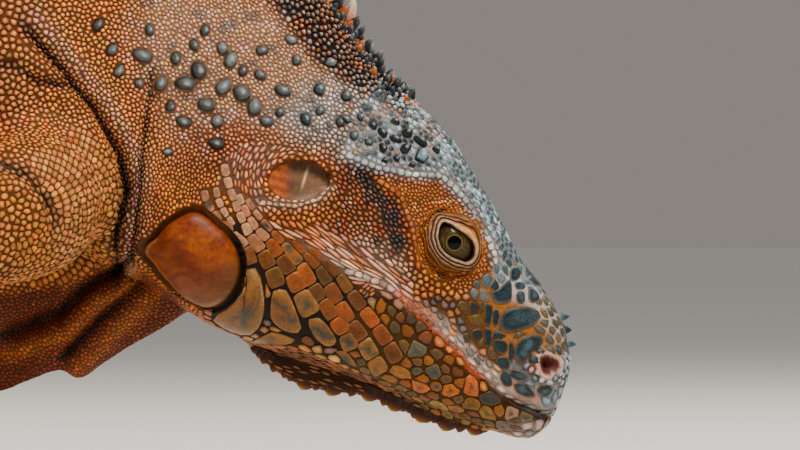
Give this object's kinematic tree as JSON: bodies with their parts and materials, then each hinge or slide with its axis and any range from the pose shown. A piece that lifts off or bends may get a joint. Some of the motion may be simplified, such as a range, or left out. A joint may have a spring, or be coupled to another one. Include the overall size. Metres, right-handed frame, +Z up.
{
  "type": "iguana",
  "caption": "Still, life-size green iguana: big adult male in orange breeding colour, crest of spines, throat flap, standing with its neck arched down.",
  "frame": {"origin": "middle of the underside of the whole animal's box, on the floor", "axes": "+X towards the snout, +Y to the animal's left, +Z up"},
  "size_m": [1.008, 0.88, 0.2166],
  "materials": {
    "head_skin": "scaled hide, blue-grey and pale pink over ochre, dry with a faint shine on the large plates",
    "jaw_skin": "tiled ochre and orange scales with dark grooves",
    "body_skin": "small keeled scales, orange and coral, dry",
    "tail_skin": "ringed scales, orange-brown with darker bands",
    "throat_skin": "thin folded skin with fine scales, dark red-brown",
    "shield_scale": "one smooth rusty-orange scale with faint growth lines",
    "ear_drum": "thin brown-orange membrane, half see-through, with a dark centre",
    "eye": "wet olive-brown iris round a black pupil under a clear dome"
  },
  "bodies": {
    "root": {"head": "head_skin", "lower_jaw": "jaw_skin", "neck": "body_skin", "chest": "body_skin", "belly": "body_skin", "hips": "body_skin", "tail_1": "tail_skin", "tail_2": "tail_skin", "tail_3": "tail_skin", "tail_4": "tail_skin", "tail_5": "tail_skin", "tail_6": "tail_skin", "tail_7": "tail_skin", "tail_8": "tail_skin", "dewlap": "throat_skin", "throat_fringe": "throat_skin", "eye_right": "eye", "ear_drum_right": "ear_drum", "jaw_shield_right": "shield_scale", "foreleg_right_upper": "body_skin", "foreleg_right_lower": "body_skin", "foreleg_right_foot": "body_skin", "hindleg_right_upper": "body_skin", "hindleg_right_lower": "body_skin", "hindleg_right_foot": "body_skin", "eye_left": "eye", "ear_drum_left": "ear_drum", "jaw_shield_left": "shield_scale", "foreleg_left_upper": "body_skin", "foreleg_left_lower": "body_skin", "foreleg_left_foot": "body_skin", "hindleg_left_upper": "body_skin", "hindleg_left_lower": "body_skin", "hindleg_left_foot": "body_skin"}
  },
  "joints": []
}
